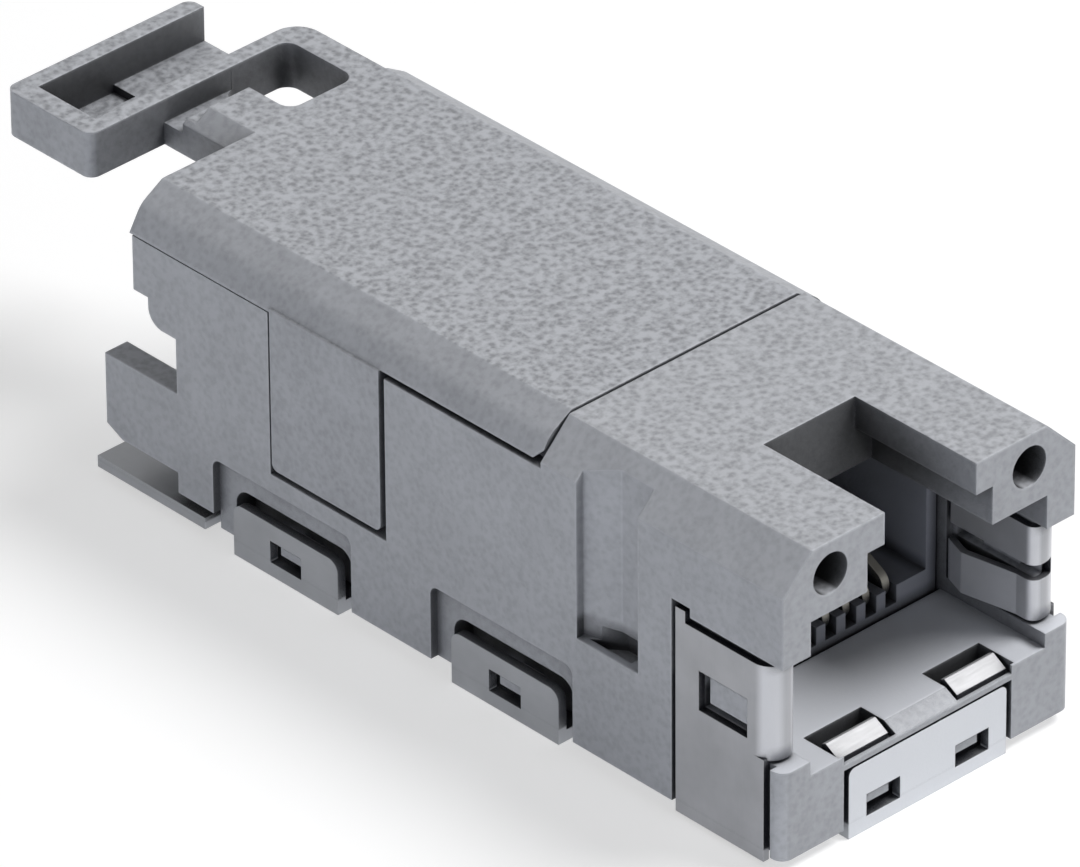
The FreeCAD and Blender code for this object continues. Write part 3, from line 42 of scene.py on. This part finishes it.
# ---------------------------------------------------------------- node helpers
class Shader:
    """A material and short calls that add nodes to it."""

    def __init__(self, name):
        self.material = bpy.data.materials.new(name)
        self.material.use_nodes = True
        self.tree = self.material.node_tree
        self.tree.nodes.clear()
        self.out = self.add("ShaderNodeOutputMaterial")
        self.surface = self.add("ShaderNodeBsdfPrincipled")
        self.link(self.surface.outputs["BSDF"], self.out.inputs["Surface"])
        self.place = self.add("ShaderNodeTexCoord").outputs["Object"]

    def add(self, kind, **settings):
        node = self.tree.nodes.new(kind)
        for key, value in settings.items():
            setattr(node, key, value)
        return node

    def link(self, source, target):
        self.tree.links.new(source, target)

    def feed(self, target, value):
        """Sets a socket to a number or colour, or links it to another socket."""
        if isinstance(value, bpy.types.NodeSocket):
            self.link(value, target)
        else:
            target.default_value = value

    def math(self, operation, first, second=0.0, clamp=False):
        node = self.add("ShaderNodeMath", operation=operation, use_clamp=clamp)
        self.feed(node.inputs[0], first)
        self.feed(node.inputs[1], second)
        return node.outputs[0]

    def product(self, first, *others):
        for other in others:
            first = self.math("MULTIPLY", first, other)
        return first

    def noise(self, size, detail=2.0, roughness=0.5, stretch=(1, 1, 1)):
        """Noise whose features are about size metres."""
        mapping = self.add("ShaderNodeMapping")
        mapping.inputs["Scale"].default_value = stretch
        self.link(self.place, mapping.inputs["Vector"])
        node = self.add("ShaderNodeTexNoise")
        node.inputs["Scale"].default_value = 1.0 / size
        node.inputs["Detail"].default_value = detail
        node.inputs["Roughness"].default_value = roughness
        self.link(mapping.outputs[0], node.inputs["Vector"])
        return node.outputs["Fac"]

    def cells(self, size):
        """Rounded cells about size metres across."""
        node = self.add("ShaderNodeTexVoronoi", feature="SMOOTH_F1")
        node.inputs["Scale"].default_value = 1.0 / size
        self.link(self.place, node.inputs["Vector"])
        return node.outputs["Distance"]

    def ramp(self, value, low, high, start=0.0, end=1.0):
        """start where the value is low, end where it is high, clamped."""
        node = self.add("ShaderNodeMapRange", clamp=True)
        self.feed(node.inputs["Value"], value)
        for name, number in (("From Min", low), ("From Max", high),
                             ("To Min", start), ("To Max", end)):
            self.feed(node.inputs[name], number)
        return node.outputs[0]

    def mix(self, factor, first, second):
        node = self.add("ShaderNodeMix", data_type="RGBA")
        self.feed(node.inputs[0], factor)
        self.feed(node.inputs[6], first)
        self.feed(node.inputs[7], second)
        return node.outputs[2]

    def shade(self, base, amount):
        """The colour darkened to amount times itself."""
        return self.mix(amount, BLACK, base)

    def edges(self, radius):
        """How near a rounded edge a point lies, 0 on flat faces, and the normal rounded over the
        edges.
        """
        rounded = self.add("ShaderNodeBevel", samples=2)
        rounded.inputs["Radius"].default_value = radius
        true = self.add("ShaderNodeNewGeometry")
        dot = self.add("ShaderNodeVectorMath", operation="DOT_PRODUCT")
        self.link(rounded.outputs[0], dot.inputs[0])
        self.link(true.outputs["Normal"], dot.inputs[1])
        return self.ramp(dot.outputs["Value"], 0.998, 0.92), rounded.outputs[0]

    def nearby(self, reach):
        """1 in the open, falling to 0 where other faces stand within reach metres."""
        node = self.add("ShaderNodeAmbientOcclusion", samples=3)
        node.inputs["Distance"].default_value = reach
        return node.outputs["AO"]

    def recess(self, reach, floor):
        """1 in the open, falling to floor deep inside the piece's own openings."""
        node = self.add("ShaderNodeAmbientOcclusion", samples=3, only_local=True)
        node.inputs["Distance"].default_value = reach
        return self.ramp(node.outputs["AO"], 0.45, 0.97, floor, 1.0)

    def bump(self, height, distance, normal=None):
        node = self.add("ShaderNodeBump")
        node.inputs["Distance"].default_value = distance
        self.link(height, node.inputs["Height"])
        if normal is not None:
            self.link(normal, node.inputs["Normal"])
        return node.outputs[0]

    def parts(self, vector):
        """The three components of a vector socket."""
        split = self.add("ShaderNodeSeparateXYZ")
        self.link(vector, split.inputs[0])
        return split.outputs

    def facing(self):
        """The direction that a face looks in, in the part's own frame."""
        return self.parts(self.add("ShaderNodeTexCoord").outputs["Normal"])

    def finish(self, base, roughness, normal, metallic=0.0):
        """Joins colour, roughness and normal to the surface."""
        self.link(base, self.surface.inputs["Base Color"])
        self.surface.inputs["Metallic"].default_value = metallic
        self.link(roughness, self.surface.inputs["Roughness"])
        self.link(normal, self.surface.inputs["Normal"])
        return self.material


# ---------------------------------------------------------------- materials
def casting(name, tone, grain_top, grain_side):
    """Plated zinc casting: spark-eroded grain, strong on top and fine on the sides.

    The edges are worn light with a painted highlight, the floor of the plug opening is smooth
    and carries painted light, and painted shade darkens the faces that look to the front, the
    joints and the openings towards their inner ends.
    """
    shader = Shader(name)
    look = shader.facing()
    top = shader.ramp(look["Z"], 0.90, 0.98)
    coarse = shader.noise(0.22 * MM, 3.0, 0.6)
    fine = shader.noise(0.10 * MM, 2.0, 0.6)
    pits = shader.cells(0.28 * MM)
    clouds = shader.noise(2.6 * MM, 4.0, 0.6)
    grain = shader.math("ADD", shader.product(coarse, 0.62), shader.product(pits, 0.55))
    spot = shader.parts(shader.place)
    from_middle = shader.math("ABSOLUTE", spot["X"])
    # The floor of the plug opening: less grain there, and painted light on it below.
    sill = shader.product(top, shader.ramp(spot["Z"], 6.0 * MM, 4.5 * MM))
    amount = shader.product(shader.ramp(top, 0.0, 1.0, grain_side, grain_top),
                            shader.ramp(sill, 0.0, 1.0, 1.0, 0.25))
    nearby = shader.nearby(0.6 * MM)
    edge, rounded = shader.edges(0.15 * MM)
    worn_and_highlit = shader.product(edge, shader.ramp(nearby, 0.85, 0.98, 0.0, 0.85))

    base = shader.mix(shader.ramp(clouds, 0.3, 0.7), scaled(tone, 0.92), scaled(tone, 1.07))
    grained = shader.mix(shader.ramp(grain, 0.36, 0.66), scaled(tone, 0.55), scaled(tone, 1.42))
    base = shader.mix(amount, base, grained)
    # Edges worn light, with a painted highlight along them.
    base = shader.mix(worn_and_highlit, base, scaled(tone, 1.6))
    # Painted light on the floor of the plug opening.
    base = shader.mix(sill, base, scaled(tone, 1.75))
    # Painted shade on the faces that look to the front.
    base = shader.shade(base, shader.ramp(look["Y"], -0.9, -0.98, 1.0, 0.84))

    # Painted shade deep inside the piece's openings, sparing the tops and the outer sides of the
    # front block, whose shallow guide grooves stay as light as the sides.
    outside = shader.product(shader.ramp(from_middle, 5.9 * MM, 6.3 * MM),
                             shader.ramp(spot["Z"], 5.8 * MM, 6.2 * MM),
                             shader.ramp(spot["Y"], -8.9 * MM, -9.3 * MM))
    open_face = shader.math("MAXIMUM", outside, top)
    base = shader.shade(base, shader.math("MAXIMUM", shader.recess(9.0 * MM, 0.06), open_face))

    # Painted shade at the inner end of the latch slot, not on faces that look up.
    slot_end = shader.product(shader.ramp(from_middle, 3.4 * MM, 3.2 * MM),
                              shader.ramp(spot["Y"], -19.5 * MM, -15.8 * MM),
                              shader.ramp(spot["Y"], -15.0 * MM, -15.4 * MM))
    slot_end = shader.math("SUBTRACT", slot_end, top, clamp=True)
    base = shader.shade(base, shader.ramp(slot_end, 0.0, 1.0, 1.0, 0.42))
    # Painted shade in the crevices and joints next to other faces.
    base = shader.mix(shader.ramp(nearby, 0.25, 0.72), METAL_CREVICE_SHADE, base)

    height = shader.math("ADD", shader.product(grain, amount), shader.product(fine, 0.18))
    return shader.finish(base, shader.ramp(fine, 0.2, 0.8, 0.46, 0.62),
                         shader.bump(height, 0.028 * MM, rounded), metallic=0.25)


def sheet_metal(name, tone, metallic, rough, grain_axis, front=1.0):
    """Stamped strip: fine rolling lines along one axis, faint stains, edges worn light with
    painted highlights, painted highlights on bends, and painted shade in joints and windows.

    front lightens the faces that look to the front with painted light.
    """
    shader = Shader(name)
    stretch = tuple(1.0 if axis == grain_axis else 14.0 for axis in "xyz")
    lines = shader.noise(1.6 * MM, 4.0, 0.7, stretch)
    stains = shader.noise(2.2 * MM, 3.0, 0.6)
    edge, rounded = shader.edges(0.06 * MM)
    look = shader.facing()

    base = shader.mix(shader.ramp(stains, 0.3, 0.72), scaled(tone, 0.88), scaled(tone, 1.06))
    # Painted light on the faces that look to the front.
    base = shader.mix(shader.ramp(look["Y"], -0.9, -1.0), base, scaled(tone, front))
    # Painted highlight on the bends, where the normal turns between the axes.
    turned = shader.math("ABSOLUTE", shader.product(look["X"], look["Y"]))
    worn_and_highlit = shader.math("MAXIMUM", shader.product(edge, 0.6), shader.ramp(turned, 0.1, 0.4))
    base = shader.mix(worn_and_highlit, base, scaled(tone, 1.45))

    # Painted shade darkens joints and windows, but not the upright faces next to the floor.
    upright = shader.math("SUBTRACT", 1.0, shader.math("ABSOLUTE", look["Z"]))
    height = shader.parts(shader.place)["Z"]
    foot = shader.product(upright, shader.ramp(height, 0.9 * MM, 0.6 * MM))
    open_face = shader.math("MAXIMUM", shader.nearby(0.8 * MM), foot)
    base = shader.mix(shader.ramp(open_face, 0.66, 0.96), METAL_CREVICE_SHADE, base)

    return shader.finish(base, shader.ramp(lines, 0.25, 0.75, rough - 0.08, rough + 0.08),
                         shader.bump(lines, 0.006 * MM, rounded), metallic)


def moulding(name, tone, rough):
    """Moulded plastic: fine erosion grain and slightly uneven gloss."""
    shader = Shader(name)
    grain = shader.noise(0.13 * MM, 2.0, 0.6)
    patches = shader.noise(3.0 * MM, 2.0, 0.5)
    edge, rounded = shader.edges(0.07 * MM)
    worn_tone = colour(*[min(1.0, part * 1.5 + 0.02) for part in tone])
    base = shader.mix(shader.ramp(patches, 0.3, 0.7), scaled(tone, 0.9), scaled(tone, 1.08))
    base = shader.mix(shader.product(edge, 0.3), base, worn_tone)
    # Painted shade in crevices and between parts.
    base = shader.mix(shader.ramp(shader.nearby(0.6 * MM), 0.50, 0.97), PLASTIC_CREVICE_SHADE, base)
    return shader.finish(base, shader.ramp(grain, 0.2, 0.8, rough - 0.07, rough + 0.07),
                         shader.bump(grain, 0.01 * MM, rounded))


def laminate(name):
    """Green solder mask: the weave of the glass shows faintly, with copper tracks under it."""
    shader = Shader(name)
    weave = shader.noise(0.25 * MM, 1.0, 0.5)
    tracks = shader.noise(1.3 * MM, 0.0, 0.5, (0.25, 1, 1))
    base = shader.mix(shader.ramp(tracks, 0.50, 0.52),
                      colour(0.012, 0.115, 0.045), colour(0.03, 0.19, 0.07))
    return shader.finish(base, shader.ramp(weave, 0.2, 0.8, 0.24, 0.36),
                         shader.bump(weave, 0.006 * MM))


def film(name):
    """Amber insulating film with faint ripples."""
    shader = Shader(name)
    ripples = shader.noise(1.5 * MM, 2.0, 0.5)
    base = shader.mix(shader.ramp(ripples, 0.3, 0.7),
                      colour(0.42, 0.24, 0.05), colour(0.52, 0.31, 0.08))
    return shader.finish(base, shader.ramp(ripples, 0.2, 0.8, 0.18, 0.28),
                         shader.bump(ripples, 0.02 * MM))


MATERIALS = {
    "die_cast_housing": casting("die_cast_housing", (0.385, 0.395, 0.42), 0.50, 0.17),
    "die_cast_cover": casting("die_cast_cover", (0.36, 0.37, 0.395), 0.68, 0.2),
    "steel_plate": sheet_metal("steel_plate", (0.40, 0.41, 0.43), 0.4, 0.42, "y", 1.55),
    "spring_steel": sheet_metal("spring_steel", (0.40, 0.405, 0.425), 0.5, 0.36, "z"),
    "ground_leaf": sheet_metal("ground_leaf", (0.42, 0.42, 0.43), 0.3, 0.5, "x"),
    "black_plastic": moulding("black_plastic", (0.22, 0.23, 0.265), 0.5),
    "white_plastic": moulding("white_plastic", (0.62, 0.61, 0.58), 0.5),
    "clear_foil": film("clear_foil"),
    "green_laminate": laminate("green_laminate"),
    "gold_plate": sheet_metal("gold_plate", (0.42, 0.40, 0.35), 0.5, 0.4, "y"),
    "tin_plate": sheet_metal("tin_plate", (0.62, 0.62, 0.63), 0.9, 0.35, "z"),
}
for entry in frame["record"]["subparts"]:
    piece = frame["nodes"][entry["node"]]
    leaf = entry["node"].startswith("ground_spring")
    piece.data.materials.clear()
    piece.data.materials.append(MATERIALS["ground_leaf" if leaf else entry["material_slot"]])
    for face in piece.data.polygons:
        face.material_index = 0


# ---------------------------------------------------------------- camera
def camera():
    """The camera of the photograph: seen from the front left, with a long lens."""
    right = Vector((0.72715, -0.68645, -0.00649))
    up = Vector((0.37588, 0.39022, 0.84050))
    back = Vector((-0.57443, -0.61361, 0.54177))
    target = Vector((-3.15, -4.75, 9.13)) * MM
    distance = 493.9 * MM
    data = bpy.data.cameras.new("camera")
    data.lens = 451.6
    data.sensor_width = 36.0
    data.clip_start = 0.01
    data.clip_end = 10.0
    eye = bpy.data.objects.new("camera", data)
    bpy.context.scene.collection.objects.link(eye)
    turn = Matrix((right, up, back)).transposed().to_4x4()
    eye.matrix_world = Matrix.Translation(target + back * distance) @ turn
    bpy.context.scene.camera = eye


camera()


# ---------------------------------------------------------------- light
def lamp(name, place, aim, power, tint=(1, 1, 1)):
    """A round soft lamp of power watts, turned to aim."""
    data = bpy.data.lights.new(name, "AREA")
    data.shape = "DISK"
    data.size = 0.22
    data.energy = power
    data.color = tint
    light = bpy.data.objects.new(name, data)
    bpy.context.scene.collection.objects.link(light)
    light.location = place
    light.rotation_euler = (Vector(aim) - Vector(place)).to_track_quat("-Z", "Y").to_euler()


lamp("key", (0.20, -0.16, 0.38), (0, 0, 0), 1.8)
lamp("fill", (-0.42, -0.18, 0.04), (0, 0, 0.01), 0.68, (0.93, 0.97, 1.06))
lamp("front", (0.02, -0.45, 0.07), (0, 0, 0.01), 0.22)


def studio():
    """A white room where it is seen, and a weak even light on the object."""
    world = bpy.data.worlds.new("studio")
    bpy.context.scene.world = world
    world.use_nodes = True
    tree = world.node_tree
    tree.nodes.clear()
    rays = tree.nodes.new("ShaderNodeLightPath")
    seen = rays.outputs["Is Camera Ray"]
    for kind in ("Is Glossy Ray", "Is Transmission Ray"):
        either = tree.nodes.new("ShaderNodeMath")
        either.operation = "MAXIMUM"
        tree.links.new(seen, either.inputs[0])
        tree.links.new(rays.outputs[kind], either.inputs[1])
        seen = either.outputs[0]
    level = tree.nodes.new("ShaderNodeMapRange")
    level.inputs["To Min"].default_value = 0.08
    level.inputs["To Max"].default_value = 1.0
    tree.links.new(seen, level.inputs["Value"])
    sky = tree.nodes.new("ShaderNodeBackground")
    sky.inputs["Color"].default_value = WHITE
    tree.links.new(level.outputs[0], sky.inputs["Strength"])
    end = tree.nodes.new("ShaderNodeOutputWorld")
    tree.links.new(sky.outputs[0], end.inputs["Surface"])


studio()


# ---------------------------------------------------------------- floor
def floor():
    """A pale floor that is seen as white and keeps the object's shadow."""
    reach = 3.0
    below = -0.01 * MM  # keeps the floor off the underside of the bottom plate
    data = bpy.data.meshes.new("floor")
    corners = [(-reach, -reach, below), (reach, -reach, below),
               (reach, reach, below), (-reach, reach, below)]
    data.from_pydata(corners, [], [(0, 1, 2, 3)])
    slab = bpy.data.objects.new("floor", data)
    bpy.context.scene.collection.objects.link(slab)
    shader = Shader("floor")
    mottle = shader.noise(30 * MM, 2.0, 0.5)
    rays = shader.add("ShaderNodeLightPath")
    seen = shader.math("MAXIMUM", rays.outputs["Is Camera Ray"], rays.outputs["Is Glossy Ray"])
    seen = shader.math("MAXIMUM", seen, rays.outputs["Is Transmission Ray"])
    pale = shader.mix(mottle, colour(0.52, 0.52, 0.52), colour(0.54, 0.54, 0.54))
    shader.link(shader.mix(seen, colour(0.86, 0.88, 0.91), pale),
                shader.surface.inputs["Base Color"])
    shader.surface.inputs["Roughness"].default_value = 0.8
    shader.surface.inputs["Emission Color"].default_value = WHITE
    shader.link(shader.product(seen, 0.57), shader.surface.inputs["Emission Strength"])
    data.materials.append(shader.material)


floor()

bpy.context.scene.view_settings.view_transform = "Standard"
